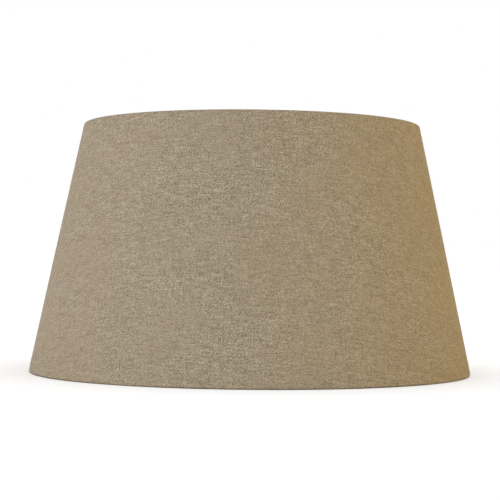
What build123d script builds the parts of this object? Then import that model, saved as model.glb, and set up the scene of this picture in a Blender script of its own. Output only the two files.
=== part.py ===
from build123d import *

import math
import os

# A tapered drum lamp shade: linen laminated to a stiff film, with its edges rolled over a wire
# ring at the top and at the bottom. Three wire arms drop from the top ring to a flat band in the
# middle. A fitter ring hangs in the band on two rivets, so it tilts and flips over, and a loose
# reducer ring sits in the fitter ring's hole.
# The origin is the centre of the bottom rim, on the surface that the shade stands on. +Z is up
# the axis, the seam is at the back, on +Y, and the rivets lie along X. Units are millimetres.

# The shade's outer shape.
BOTTOM_DIAMETER = 450.0
TOP_DIAMETER = 343.0
HEIGHT = 252.0

# What the wall and its rolled edges are made of, from the outside in.
LINEN_THICKNESS = 0.55
LINING_THICKNESS = 0.35
TAPE_THICKNESS = 0.15
RING_WIRE_RADIUS = 1.5
ROLL_SWEEP = 305.0
TAPE_SWEEP = 200.0
LAP_WIDTH = 10.0
LINING_JOINT_GAP = 0.2
SEAM_TAPE_WIDTH = 20.0
SEAM_TAPE_THICKNESS = 0.35

# The spider: three arms and the band that they carry.
ARM_COUNT = 3
FIRST_ARM_ANGLE = 270.0
ARM_WIRE_RADIUS = 1.25
ARM_HOLE_CLEARANCE = 0.25
ARM_DROP = 28.0
ARM_OUTER_RUN = 14.0
ARM_INNER_RUN = 12.0
ARM_BEND_RADIUS = 8.0
BAND_INNER_RADIUS = 34.0
BAND_THICKNESS = 1.2
BAND_HEIGHT = 10.0
BAND_EDGE_RADIUS = 0.3

# The fitter ring that tilts in the band.
FITTER_HOLE_RADIUS = 21.0
FITTER_OUTER_RADIUS = 28.5
SHEET_THICKNESS = 1.2
FITTER_LIP_HEIGHT = 2.0
FITTER_DROP = 12.0
EAR_WIDTH = 10.0
EAR_INNER_FACE = 29.0
EAR_ROOT = 25.0
EAR_BEND_RADIUS = 1.6

# The rivets and spacers that the ears turn on.
RIVET_RADIUS = 1.5
RIVET_CLEARANCE = 0.08
RIVET_HEAD_RADIUS = 3.0
RIVET_HEAD_HEIGHT = 1.4
RIVET_HEAD_ROUND = 0.9
PEENED_END_RADIUS = 2.5
PEENED_END_HEIGHT = 1.2
PEENED_END_ROUND = 0.6
SPACER_RADIUS = 3.0
SPACER_BORE_CLEARANCE = 0.1
FACE_GAP = 0.2

# The moulded reducer ring.
REDUCER_BORE_RADIUS = 14.5
REDUCER_FLANGE_RADIUS = 24.0
REDUCER_FLANGE_THICKNESS = 1.5
REDUCER_WALL = 1.5
REDUCER_INNER_DEPTH = 6.0
REDUCER_OUTER_DEPTH = 4.5
REDUCER_CLEARANCE = 0.3
REDUCER_SEAT_GAP = 0.1
REDUCER_RIB_COUNT = 6
REDUCER_RIB_THICKNESS = 1.2
REDUCER_EDGE_RADIUS = 0.5

# Places that follow from the sizes above.
TAPER_ANGLE = math.degrees(math.atan2((BOTTOM_DIAMETER - TOP_DIAMETER) / 2, HEIGHT))
ROLL_INNER_RADIUS = RING_WIRE_RADIUS + TAPE_THICKNESS + LINING_THICKNESS
ROLL_OUTER_RADIUS = ROLL_INNER_RADIUS + LINEN_THICKNESS
BOTTOM_RING_Z = ROLL_OUTER_RADIUS
TOP_RING_Z = HEIGHT - ROLL_OUTER_RADIUS
PIVOT_Z = TOP_RING_Z - ARM_DROP
BAND_OUTER_RADIUS = BAND_INNER_RADIUS + BAND_THICKNESS
EAR_OUTER_FACE = EAR_INNER_FACE + SHEET_THICKNESS
FITTER_TOP_Z = PIVOT_Z - FITTER_DROP


def wall_radius(depth, z):
    """Radius at height z of the cone that lies depth inside the linen's outer face."""
    taper = math.radians(TAPER_ANGLE)
    return BOTTOM_DIAMETER / 2 - z * math.tan(taper) - depth / math.cos(taper)


def ring_centre(z):
    """Centre of a ring's wire section in the (radius, z) plane, with its roll on the wall line."""
    return (wall_radius(ROLL_OUTER_RADIUS, z), z)


BOTTOM_CENTRE = ring_centre(BOTTOM_RING_Z)
TOP_CENTRE = ring_centre(TOP_RING_Z)


def on_circle(centre, radius, angle):
    """Point at an angle, in degrees, on a circle in the (radius, z) plane."""
    turn = math.radians(angle)
    return (centre[0] + radius * math.cos(turn), centre[1] + radius * math.sin(turn))


def turned(edges):
    """Solid of revolution about Z of a closed outline drawn in the (radius, z) plane."""
    outline = Plane.XZ * (Curve() + edges)
    return revolve(make_face(outline.edges()), Axis.Z)


def wall_band(outer_depth, inner_depth):
    """Cone shell between two depths, from the bottom ring's tangent line to the top ring's."""
    corners = [
        on_circle(BOTTOM_CENTRE, ROLL_OUTER_RADIUS - outer_depth, TAPER_ANGLE),
        on_circle(TOP_CENTRE, ROLL_OUTER_RADIUS - outer_depth, TAPER_ANGLE),
        on_circle(TOP_CENTRE, ROLL_OUTER_RADIUS - inner_depth, TAPER_ANGLE),
        on_circle(BOTTOM_CENTRE, ROLL_OUTER_RADIUS - inner_depth, TAPER_ANGLE),
    ]
    return turned([Line(corners[i], corners[(i + 1) % 4]) for i in range(4)])


def back_strip(shell, width):
    """The stretch of a shell that lies within a strip of that width at the back."""
    strip = Box(width, BOTTOM_DIAMETER, HEIGHT * 2, align=(Align.CENTER, Align.MIN, Align.CENTER))
    return shell & strip


def arm_placements():
    """Locations that turn something drawn along +X to each arm's direction."""
    return [Rot(0, 0, FIRST_ARM_ANGLE + i * 360 / ARM_COUNT) for i in range(ARM_COUNT)]


def linen_cover():
    """The linen sheet: wall, both rolled edges, the lap at the back and the arms' holes."""
    a = TAPER_ANGLE
    outer, inner = ROLL_OUTER_RADIUS, ROLL_INNER_RADIUS
    bottom_end, top_end = a - ROLL_SWEEP, a + ROLL_SWEEP
    outline = [
        CenterArc(BOTTOM_CENTRE, outer, bottom_end, ROLL_SWEEP),
        Line(on_circle(BOTTOM_CENTRE, outer, a), on_circle(TOP_CENTRE, outer, a)),
        CenterArc(TOP_CENTRE, outer, a, ROLL_SWEEP),
        Line(on_circle(TOP_CENTRE, outer, top_end), on_circle(TOP_CENTRE, inner, top_end)),
        CenterArc(TOP_CENTRE, inner, a, ROLL_SWEEP),
        Line(on_circle(TOP_CENTRE, inner, a), on_circle(BOTTOM_CENTRE, inner, a)),
        CenterArc(BOTTOM_CENTRE, inner, bottom_end, ROLL_SWEEP),
        Line(on_circle(BOTTOM_CENTRE, inner, bottom_end), on_circle(BOTTOM_CENTRE, outer, bottom_end)),
    ]
    cover = turned(outline)
    cover += back_strip(wall_band(-LINEN_THICKNESS, 0), LAP_WIDTH)
    hole = Cylinder(
        ARM_WIRE_RADIUS + ARM_HOLE_CLEARANCE,
        2 * ROLL_OUTER_RADIUS,
        rotation=(0, 90, 0),
        align=(Align.CENTER, Align.CENTER, Align.MAX),
    )
    for turn in arm_placements():
        cover -= turn * Pos(TOP_CENTRE[0], 0, TOP_CENTRE[1]) * hole
    return cover


def styrene_lining():
    """The stiff film inside the linen, with a butt joint at the back."""
    lining = wall_band(LINEN_THICKNESS, LINEN_THICKNESS + LINING_THICKNESS)
    return lining - back_strip(lining, LINING_JOINT_GAP)


def seam_tape():
    """Tape over the lining's joint, between the two rolled edges."""
    depth = LINEN_THICKNESS + LINING_THICKNESS
    tape = back_strip(wall_band(depth, depth + SEAM_TAPE_THICKNESS), SEAM_TAPE_WIDTH)
    clear = 2 * ROLL_OUTER_RADIUS
    band = Box(
        BOTTOM_DIAMETER,
        BOTTOM_DIAMETER,
        TOP_RING_Z - BOTTOM_RING_Z - 2 * clear,
        align=(Align.CENTER, Align.CENTER, Align.MIN),
    )
    return tape & (Pos(0, 0, BOTTOM_RING_Z + clear) * band)


def wire_ring(centre):
    """A ring of round wire about the shade's axis."""
    return Pos(0, 0, centre[1]) * Torus(centre[0], RING_WIRE_RADIUS)


def ring_tape(centre):
    """Double-sided tape wrapped over the side of a ring that faces the lining."""
    inner, outer = RING_WIRE_RADIUS, RING_WIRE_RADIUS + TAPE_THICKNESS
    start = TAPER_ANGLE - TAPE_SWEEP / 2
    end = start + TAPE_SWEEP
    outline = [
        CenterArc(centre, outer, start, TAPE_SWEEP),
        Line(on_circle(centre, outer, end), on_circle(centre, inner, end)),
        CenterArc(centre, inner, start, TAPE_SWEEP),
        Line(on_circle(centre, inner, start), on_circle(centre, outer, start)),
    ]
    return turned(outline)


def spider_arm(turn):
    """One wire arm, coped to the top ring at one end and to the band at the other."""
    route = FilletPolyline(
        (TOP_CENTRE[0], 0, TOP_RING_Z),
        (TOP_CENTRE[0] - ARM_OUTER_RUN, 0, TOP_RING_Z),
        (BAND_OUTER_RADIUS + ARM_INNER_RUN, 0, PIVOT_Z),
        (BAND_INNER_RADIUS, 0, PIVOT_Z),
        radius=ARM_BEND_RADIUS,
    )
    section = Plane(origin=route @ 0, z_dir=route % 0) * Circle(ARM_WIRE_RADIUS)
    arm = sweep(section, path=route)
    arm -= wire_ring(TOP_CENTRE)
    arm -= Pos(0, 0, PIVOT_Z) * Cylinder(BAND_OUTER_RADIUS, BAND_HEIGHT)
    return turn * arm


def along_x(radius, start, length):
    """Cylinder along +X from start, on the pivot axis."""
    rod = Cylinder(radius, length, rotation=(0, 90, 0), align=(Align.CENTER, Align.CENTER, Align.MIN))
    return Pos(start, 0, PIVOT_Z) * rod


def pivot_ring():
    """The flat steel band that the arms carry, with a hole each side for its rivet."""
    band = Cylinder(BAND_OUTER_RADIUS, BAND_HEIGHT) - Cylinder(BAND_INNER_RADIUS, BAND_HEIGHT)
    band = fillet(band.edges().filter_by(GeomType.CIRCLE), BAND_EDGE_RADIUS)
    band = Pos(0, 0, PIVOT_Z) * band
    return band - along_x(RIVET_RADIUS, -2 * BAND_OUTER_RADIUS, 4 * BAND_OUTER_RADIUS)


def fitter_ear():
    """One ear of the fitter ring: bent up from the ring, with a round top about the pivot."""
    middle = EAR_INNER_FACE + SHEET_THICKNESS / 2
    ring_z = FITTER_TOP_Z - SHEET_THICKNESS / 2
    route = FilletPolyline(
        (EAR_ROOT, 0, ring_z),
        (middle, 0, ring_z),
        (middle, 0, PIVOT_Z + EAR_WIDTH / 2),
        radius=EAR_BEND_RADIUS,
    )
    section = Plane(origin=route @ 0, x_dir=(0, 1, 0), z_dir=(1, 0, 0))
    ear = sweep(section * Rectangle(EAR_WIDTH, SHEET_THICKNESS), path=route)
    below = Pos(0, 0, PIVOT_Z) * Box(
        4 * EAR_INNER_FACE, EAR_WIDTH, HEIGHT, align=(Align.CENTER, Align.CENTER, Align.MAX)
    )
    round_top = along_x(EAR_WIDTH / 2, 0, 2 * EAR_INNER_FACE)
    return ear & (below + round_top)


def tilt_ring():
    """The stamped fitter ring: a flat ring with a turned-down lip and two ears."""
    plate = Cylinder(FITTER_OUTER_RADIUS, SHEET_THICKNESS, align=(Align.CENTER, Align.CENTER, Align.MAX))
    lip = Cylinder(
        FITTER_HOLE_RADIUS + SHEET_THICKNESS,
        SHEET_THICKNESS + FITTER_LIP_HEIGHT,
        align=(Align.CENTER, Align.CENTER, Align.MAX),
    )
    ring = Pos(0, 0, FITTER_TOP_Z) * (plate + lip)
    ear = fitter_ear()
    ring += ear + Rot(0, 0, 180) * ear
    ring -= Pos(0, 0, FITTER_TOP_Z) * Cylinder(FITTER_HOLE_RADIUS, 8 * SHEET_THICKNESS)
    ring -= along_x(RIVET_RADIUS + RIVET_CLEARANCE, -2 * EAR_INNER_FACE, 4 * EAR_INNER_FACE)
    return ring


def pivot_rivet():
    """A rivet on the +X side: domed head outside the band, peened end inside the ear."""
    inner_end = EAR_INNER_FACE - FACE_GAP - PEENED_END_HEIGHT
    shank = along_x(RIVET_RADIUS, inner_end, BAND_OUTER_RADIUS - inner_end)
    head = along_x(RIVET_HEAD_RADIUS, BAND_OUTER_RADIUS, RIVET_HEAD_HEIGHT)
    head = fillet(head.edges().filter_by(GeomType.CIRCLE).sort_by(Axis.X)[-1], RIVET_HEAD_ROUND)
    peened = along_x(PEENED_END_RADIUS, inner_end, PEENED_END_HEIGHT)
    peened = fillet(peened.edges().filter_by(GeomType.CIRCLE).sort_by(Axis.X)[0], PEENED_END_ROUND)
    return shank + head + peened


def pivot_spacer():
    """The nylon spacer on the +X side, its outer end shaped to the band's curve."""
    start = EAR_OUTER_FACE + FACE_GAP
    spacer = along_x(SPACER_RADIUS, start, BAND_INNER_RADIUS - start)
    spacer &= Pos(0, 0, PIVOT_Z) * Cylinder(BAND_INNER_RADIUS, BAND_HEIGHT)
    return spacer - along_x(RIVET_RADIUS + SPACER_BORE_CLEARANCE, 0, BAND_INNER_RADIUS * 2)


def collar(outer_radius, depth):
    """A moulded collar about Z that hangs down from z = 0."""
    down = (Align.CENTER, Align.CENTER, Align.MAX)
    return Cylinder(outer_radius, depth, align=down) - Cylinder(outer_radius - REDUCER_WALL, depth, align=down)


def reducer_ring():
    """The moulded reducer: a flange over the fitter ring, two collars below it and ribs between."""
    bore = REDUCER_BORE_RADIUS
    outer_collar = FITTER_HOLE_RADIUS - REDUCER_CLEARANCE
    flange = Cylinder(
        REDUCER_FLANGE_RADIUS, REDUCER_FLANGE_THICKNESS, align=(Align.CENTER, Align.CENTER, Align.MIN)
    )
    flange = fillet(flange.edges().filter_by(GeomType.CIRCLE).sort_by(Axis.Z)[-1], REDUCER_EDGE_RADIUS)
    reducer = flange + collar(bore + REDUCER_WALL, REDUCER_INNER_DEPTH)
    reducer += collar(outer_collar, REDUCER_OUTER_DEPTH)
    rib_start = bore + REDUCER_WALL / 2
    rib = Pos(rib_start, 0, 0) * Box(
        outer_collar - REDUCER_WALL / 2 - rib_start,
        REDUCER_RIB_THICKNESS,
        REDUCER_OUTER_DEPTH,
        align=(Align.MIN, Align.CENTER, Align.MAX),
    )
    for i in range(REDUCER_RIB_COUNT):
        reducer += Rot(0, 0, i * 360 / REDUCER_RIB_COUNT) * rib
    reducer -= Cylinder(bore, 4 * REDUCER_INNER_DEPTH)
    return Pos(0, 0, FITTER_TOP_Z + REDUCER_SEAT_GAP) * reducer


def left(piece):
    """The same piece on the -X side."""
    return Rot(0, 0, 180) * piece


def all_parts():
    """Every sub-part by its node name."""
    parts = {
        "linen_cover": linen_cover(),
        "styrene_lining": styrene_lining(),
        "seam_tape": seam_tape(),
        "top_ring": wire_ring(TOP_CENTRE),
        "bottom_ring": wire_ring(BOTTOM_CENTRE),
        "top_ring_tape": ring_tape(TOP_CENTRE),
        "bottom_ring_tape": ring_tape(BOTTOM_CENTRE),
        "pivot_ring": pivot_ring(),
        "tilt_ring": tilt_ring(),
        "pivot_rivet_right": pivot_rivet(),
        "pivot_rivet_left": left(pivot_rivet()),
        "pivot_spacer_right": pivot_spacer(),
        "pivot_spacer_left": left(pivot_spacer()),
        "reducer_ring": reducer_ring(),
    }
    for i, turn in enumerate(arm_placements(), start=1):
        parts[f"spider_arm_{i}"] = spider_arm(turn)
    return parts


os.makedirs("parts", exist_ok=True)
for name, part in all_parts().items():
    export_step(part, f"parts/{name}.step")
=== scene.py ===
"""A tapered drum lamp shade in natural linen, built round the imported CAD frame.

The linen, the film behind it and the tapes are new meshes, because they are sheet goods. The wire
spider, the fitter and the reducer stay as the CAD made them, and get their finishes here.
Everything is in metres in the frame's own axes: +Z up the shade's axis, the seam at the back on +Y.
"""

import logging
import math
from dataclasses import dataclass
from enum import Enum

import bpy
import numpy as np
from mathutils import Matrix, Vector


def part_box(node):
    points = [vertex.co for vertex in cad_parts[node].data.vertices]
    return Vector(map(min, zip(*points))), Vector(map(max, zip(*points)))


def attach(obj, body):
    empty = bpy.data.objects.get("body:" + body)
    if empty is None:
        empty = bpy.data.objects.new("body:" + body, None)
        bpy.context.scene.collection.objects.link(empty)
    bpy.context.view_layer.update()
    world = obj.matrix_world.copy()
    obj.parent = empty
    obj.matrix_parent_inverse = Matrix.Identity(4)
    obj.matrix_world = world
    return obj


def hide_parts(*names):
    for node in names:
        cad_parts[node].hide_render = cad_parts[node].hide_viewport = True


log = logging.getLogger("lamp_shade")

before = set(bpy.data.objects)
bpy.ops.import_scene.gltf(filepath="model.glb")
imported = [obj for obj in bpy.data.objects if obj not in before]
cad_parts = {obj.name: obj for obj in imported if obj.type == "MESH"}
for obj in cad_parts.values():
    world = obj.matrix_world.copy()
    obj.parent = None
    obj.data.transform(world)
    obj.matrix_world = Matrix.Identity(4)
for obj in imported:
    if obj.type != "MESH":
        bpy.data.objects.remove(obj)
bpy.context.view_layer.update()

Colour = tuple[float, float, float]
Socket = bpy.types.NodeSocket
MM = 0.001

# The CAD body that every new piece rides on.
SHADE_BODY = "shade"

# Angles round the axis at which the spider's arms run, from 0 at the front.
ARM_TURNS = (0.0, 2 * math.pi / 3, -2 * math.pi / 3)

# The range that most of a fractal noise falls in.
NOISE_MIDDLE = (0.3, 0.7)


class Slot(Enum):
    """Names of the record's material slots."""

    LINEN = "linen"
    LINING = "lining"
    TAPE = "tape"
    FRAME_PAINT = "frame_paint"


# ---------------------------------------------------------------------------------------------
# Node graphs
# ---------------------------------------------------------------------------------------------


@dataclass(frozen=True)
class Ramp:
    """A smooth step from one value to another.

    Attributes:
        low: Where the step starts.
        high: Where it ends.
        start: The result up to low.
        end: The result from high on.
    """

    low: float
    high: float
    start: float = 0.0
    end: float = 1.0


class Graph:
    """One material's node tree, with a short call for each kind of node that the finishes use."""

    def __init__(self, name: str) -> None:
        """Makes the material and finds its shader.

        Args:
            name: The material's name.
        """
        self.material = bpy.data.materials.new(name)
        self.material.use_nodes = True
        self.tree = self.material.node_tree
        self.shader = self.tree.nodes["Principled BSDF"]

    def node(self, kind: str, **settings: object) -> bpy.types.Node:
        """Adds a node.

        Args:
            kind: The node's Blender class name.
            **settings: Attributes to set on it.

        Returns:
            The new node.
        """
        made = self.tree.nodes.new(kind)
        for key, value in settings.items():
            setattr(made, key, value)
        return made

    def join(self, source: Socket, target: Socket) -> None:
        """Links an output to an input."""
        self.tree.links.new(source, target)

    def feed(self, target: Socket, value: object) -> None:
        """Links a socket, or sets a plain number or colour, on an input.

        Args:
            target: The input.
            value: The socket, number or colour.
        """
        if isinstance(value, Socket):
            self.join(value, target)
        else:
            target.default_value = value

    def math(self, operation: str, *values: object) -> Socket:
        """A Math node.

        Args:
            operation: Blender's name for the operation.
            *values: Sockets or numbers for its inputs, in order.

        Returns:
            The result.
        """
        made = self.node("ShaderNodeMath", operation=operation)
        for target, value in zip(made.inputs, values):
            self.feed(target, value)
        return made.outputs[0]

    def vector(self, x: object = 0.0, y: object = 0.0, z: object = 0.0) -> Socket:
        """A vector put together from three numbers or sockets.

        Args:
            x: Its first part.
            y: Its second part.
            z: Its third part.

        Returns:
            The vector.
        """
        made = self.node("ShaderNodeCombineXYZ")
        for target, value in zip(made.inputs, (x, y, z)):
            self.feed(target, value)
        return made.outputs[0]

    def noise(
        self, place: Socket, scale: float, detail: float = 2.0, roughness: float = 0.5
    ) -> Socket:
        """Fractal noise from 0 to 1.

        Args:
            place: Where to read it.
            scale: How many of its cells fit in one unit of place.
            detail: How many times finer noise is added.
            roughness: How strong each finer noise is beside the last.

        Returns:
            The noise.
        """
        made = self.node("ShaderNodeTexNoise")
        self.join(place, made.inputs["Vector"])
        made.inputs["Scale"].default_value = scale
        made.inputs["Detail"].default_value = detail
        made.inputs["Roughness"].default_value = roughness
        return made.outputs["Fac"]

    def step(self, value: Socket, ramp: Ramp) -> Socket:
        """A smooth step.

        Args:
            value: What is stepped.
            ramp: Where the step starts and ends, and what it gives there.

        Returns:
            The step's result.
        """
        made = self.node("ShaderNodeMapRange", interpolation_type="SMOOTHSTEP")
        self.join(value, made.inputs["Value"])
        made.inputs["From Min"].default_value = ramp.low
        made.inputs["From Max"].default_value = ramp.high
        made.inputs["To Min"].default_value = ramp.start
        made.inputs["To Max"].default_value = ramp.end
        return made.outputs["Result"]

    def blend(self, share: Socket, first: object, second: object) -> Socket:
        """Two colours mixed.

        Args:
            share: How much of the second, from 0 to 1.
            first: The first colour or socket.
            second: The second colour or socket.

        Returns:
            The mixed colour.
        """
        made = self.node("ShaderNodeMix", data_type="RGBA")
        colours = [s for s in made.inputs if s.type == "RGBA"]
        self.join(share, made.inputs[0])
        for target, value in zip(colours, (first, second)):
            self.feed(target, (*value, 1.0) if isinstance(value, tuple) else value)
        return next(s for s in made.outputs if s.type == "RGBA")

    def object_point(self) -> Socket:
        """The point in the object's own metres, which are the frame's."""
        return self.node("ShaderNodeTexCoord").outputs["Object"]

    def bump(self, height: Socket, distance: float) -> None:
        """Roughens the shader's normal.

        Args:
            height: The surface's height, from 0 to 1.
            distance: How many metres a height of 1 stands for.
        """
        made = self.node("ShaderNodeBump")
        made.inputs["Distance"].default_value = distance
        self.join(height, made.inputs["Height"])
        self.join(made.outputs["Normal"], self.shader.inputs["Normal"])


# ---------------------------------------------------------------------------------------------
# Finishes
# ---------------------------------------------------------------------------------------------


@dataclass(frozen=True)
class Threads:
    """What one set of threads gives at a place, in a node graph.

    Attributes:
        tone: From the darkest thread at 0 to the palest at 1.
        slub: 1 in a thick place, 0 elsewhere.
        fibre: The streaks of its fibres, from 0 to 1.
        thick: Its thickness, where 1 is a usual thread.
    """

    tone: Socket
    slub: Socket
    fibre: Socket
    thick: Socket


@dataclass(frozen=True)
class LinenFinish:
    """Plain-woven natural linen: melange threads, slubs both ways, fibres, painted shade in the gaps and
    dark nubs.

    It reads the piece's own UV map, which holds the flat cloth's place in metres. The warp runs
    along the map's second axis and the weft along its first.

    Attributes:
        name: The material's name.
        base: The cloth's middle colour.
        pale: The colour of its palest fibres.
        dark: The colour of its darkest fibres.
        gap_shade: Painted shade between the threads, the dark colour where they dip low.
        nub: The colour of the bits of straw.
        golden: The colour that the cloth drifts to in broad patches.
        pale_ramp: How much of the pale colour a thread has, by its tone.
        dark_ramp: How much of the dark colour it has, by its tone.
        golden_ramp: How much of the golden colour the cloth has, by a broad noise.
        golden_scale: How many of the broad patches fit in a metre.
        thread_pitch: Distance from one thread to the next.
        thread_relief: Height of a thread's crown over the gaps.
        thread_wander: How far the threads run off straight.
        wander_scale: How often they do, in turns a metre.
        crimp: How far a thread rises and dips at its crossings, as a share of its height.
        crossing_blur: Difference in height within which two crossing threads blend.
        thick_ramp: A thread's thickness, by its tone.
        gap_shade_ramp: How much of the painted gap shade the cloth has, by its height.
        gloss_ramp: Its roughness, by its height.
        row_apart: How far apart in the noise two neighbouring threads are read.
        warp_seed: Where in the noise the warp starts.
        weft_seed: Where in the noise the weft starts.
        tone_length: Length over which a thread's tone changes.
        run_length: Length over which the whole thread is paler or darker than its neighbours.
        run_seed: How far on in the noise those lengths are read.
        warp_run: How much of the tone they make in the warp.
        weft_run: How much of it they make in the weft, which is spun less evenly.
        slub_length: Length of a thick place in a thread.
        slub_seed: How far on in the noise the thick places are read.
        slub_ramp: Where a thread is thick, by that noise.
        slub_thick: How much thicker it is there.
        slub_pale: How much paler it is there.
        fibre_width: Width of one streak of fibres in a thread.
        fibre_length: Length of one streak of fibres.
        fibre_ramp: How much of the dark colour a streak has.
        fibre_relief: Height of a streak, as a share of the thread's.
        nub_spacing: Distance from one bit of straw's cell to the next.
        nub_ramp: How a bit fades from its middle outwards, in shares of its cell.
        nub_pick: Which cells hold a bit, by the cell's random number.
        nub_share: How strongly a bit shows.
        specular: Strength of the gloss.
        sheen: Strength of the sheen.
        sheen_roughness: Roughness of the sheen.
    """

    name: str = "natural_linen"
    base: Colour = (0.42, 0.32, 0.19)
    pale: Colour = (0.76, 0.63, 0.435)
    dark: Colour = (0.148, 0.107, 0.06)
    # Painted shade for the gaps between threads, not a colour of the yarn.
    gap_shade: Colour = (0.13, 0.1, 0.066)
    nub: Colour = (0.1, 0.075, 0.05)
    golden: Colour = (0.415, 0.31, 0.178)
    pale_ramp: Ramp = Ramp(0.47, 0.7)
    dark_ramp: Ramp = Ramp(0.29, 0.53, 1.0, 0.0)
    golden_ramp: Ramp = Ramp(*NOISE_MIDDLE, 0.0, 0.35)
    golden_scale: float = 14.0
    thread_pitch: float = 0.84 * MM
    thread_relief: float = 0.23 * MM
    thread_wander: float = 0.9 * MM
    wander_scale: float = 45.0
    crimp: float = 0.5
    crossing_blur: float = 0.06
    thick_ramp: Ramp = Ramp(0.32, 0.68, 0.62, 1.2)
    gap_shade_ramp: Ramp = Ramp(0.15, 0.8, 0.85, 0.0)
    gloss_ramp: Ramp = Ramp(0.2, 0.9, 1.0, 0.92)
    row_apart: float = 7.31
    warp_seed: float = 0.0
    weft_seed: float = 60.0
    tone_length: float = 1.3 * MM
    run_length: float = 12 * MM
    run_seed: float = 40.0
    warp_run: float = 0.12
    weft_run: float = 0.38
    slub_length: float = 13 * MM
    slub_seed: float = 20.0
    slub_ramp: Ramp = Ramp(0.6, 0.75)
    slub_thick: float = 0.5
    slub_pale: float = 0.22
    fibre_width: float = 0.13 * MM
    fibre_length: float = 1.6 * MM
    fibre_ramp: Ramp = Ramp(0.35, 0.65, 0.3, 0.0)
    fibre_relief: float = 0.2
    nub_spacing: float = 11 * MM
    nub_ramp: Ramp = Ramp(0.025, 0.08, 1.0, 0.0)
    nub_pick: Ramp = Ramp(0.64, 0.74)
    nub_share: float = 0.8
    specular: float = 0.25
    sheen: float = 0.12
    sheen_roughness: float = 0.5

    def material(self) -> bpy.types.Material:
        """Builds the finish.

        Returns:
            The material.
        """
        g = Graph(self.name)
        across, along = self.flat_place(g)
        place = g.vector(across, along)
        warp = self.threads(g, across, along, self.warp_seed, self.warp_run)
        weft = self.threads(g, along, across, self.weft_seed, self.weft_run)
        over, height = self.weave(g, across, along, warp, weft)
        tone = self.pick(g, over, warp.tone, weft.tone)
        slub = self.pick(g, over, warp.slub, weft.slub)
        fibre = self.pick(g, over, warp.fibre, weft.fibre)

        patches = g.noise(place, self.golden_scale)
        nubs = self.nubs(g, place)
        colour = g.blend(g.step(tone, self.pale_ramp), self.base, self.pale)
        colour = g.blend(g.step(tone, self.dark_ramp), colour, self.dark)
        colour = g.blend(g.math("MULTIPLY", slub, self.slub_pale), colour, self.pale)
        colour = g.blend(g.step(fibre, self.fibre_ramp), colour, self.dark)
        colour = g.blend(g.step(patches, self.golden_ramp), colour, self.golden)
        # Painted shade: the cloth darkens where the threads dip, as if shadowed in the gaps.
        colour = g.blend(g.step(height, self.gap_shade_ramp), colour, self.gap_shade)
        colour = g.blend(g.math("MULTIPLY", nubs, self.nub_share), colour, self.nub)
        g.join(colour, g.shader.inputs["Base Color"])

        g.bump(g.math("MULTIPLY_ADD", fibre, self.fibre_relief, height), self.thread_relief)
        g.join(g.step(height, self.gloss_ramp), g.shader.inputs["Roughness"])
        g.shader.inputs["Specular IOR Level"].default_value = self.specular
        g.shader.inputs["Sheen Weight"].default_value = self.sheen
        g.shader.inputs["Sheen Roughness"].default_value = self.sheen_roughness
        return g.material

    def flat_place(self, g: Graph) -> tuple[Socket, Socket]:
        """Place on the flat cloth, in metres, with the threads wandering a little off straight.

        Args:
            g: The graph.

        Returns:
            The places across the warp and along it.
        """
        flat = g.node("ShaderNodeUVMap", uv_map="flat").outputs["UV"]
        parts = g.node("ShaderNodeSeparateXYZ")
        g.join(flat, parts.inputs[0])
        centred = g.math("SUBTRACT", g.noise(flat, self.wander_scale, detail=1.0), 0.5)
        drift = g.math("MULTIPLY", centred, self.thread_wander * 2)
        across = g.math("ADD", parts.outputs[0], drift)
        along = g.math("SUBTRACT", parts.outputs[1], drift)
        return across, along

    def threads(
        self, g: Graph, across: Socket, along: Socket, seed: float, run_share: float
    ) -> Threads:
        """What changes along one set of threads.

        The thread's number picks a row of noise of its own, which is then read along its length.
        The tone is a short noise plus a share of a long one, and the thickness follows the tone and
        the slubs.

        Args:
            g: The graph.
            across: Place across these threads.
            along: Place along them.
            seed: Where in the noise this set starts.
            run_share: How much of the tone runs the length of a thread.

        Returns:
            What the threads give at that place.
        """
        number = g.math("FLOOR", g.math("DIVIDE", across, self.thread_pitch))
        row = g.math("MULTIPLY", number, self.row_apart)
        tone_place = g.vector(row, g.math("DIVIDE", along, self.tone_length), seed)
        run_place = g.vector(row, g.math("DIVIDE", along, self.run_length), seed + self.run_seed)
        slub_place = g.vector(row, g.math("DIVIDE", along, self.slub_length), seed + self.slub_seed)
        streak = g.vector(
            g.math("DIVIDE", across, self.fibre_width), g.math("DIVIDE", along, self.fibre_length), seed
        )
        run = g.math("SUBTRACT", g.noise(run_place, 1.0, detail=0.0), 0.5)
        tone = g.math("MULTIPLY_ADD", run, run_share, g.noise(tone_place, 1.0))
        slub = g.step(g.noise(slub_place, 1.0, detail=0.0), self.slub_ramp)
        thick = g.math("MULTIPLY_ADD", slub, self.slub_thick, g.step(tone, self.thick_ramp))
        return Threads(tone, slub, g.noise(streak, 1.0), thick)

    def pick(self, g: Graph, over: Socket, warp: Socket, weft: Socket) -> Socket:
        """The warp's value where it lies over, and the weft's elsewhere."""
        return g.math("ADD", weft, g.math("MULTIPLY", over, g.math("SUBTRACT", warp, weft)))

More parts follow.
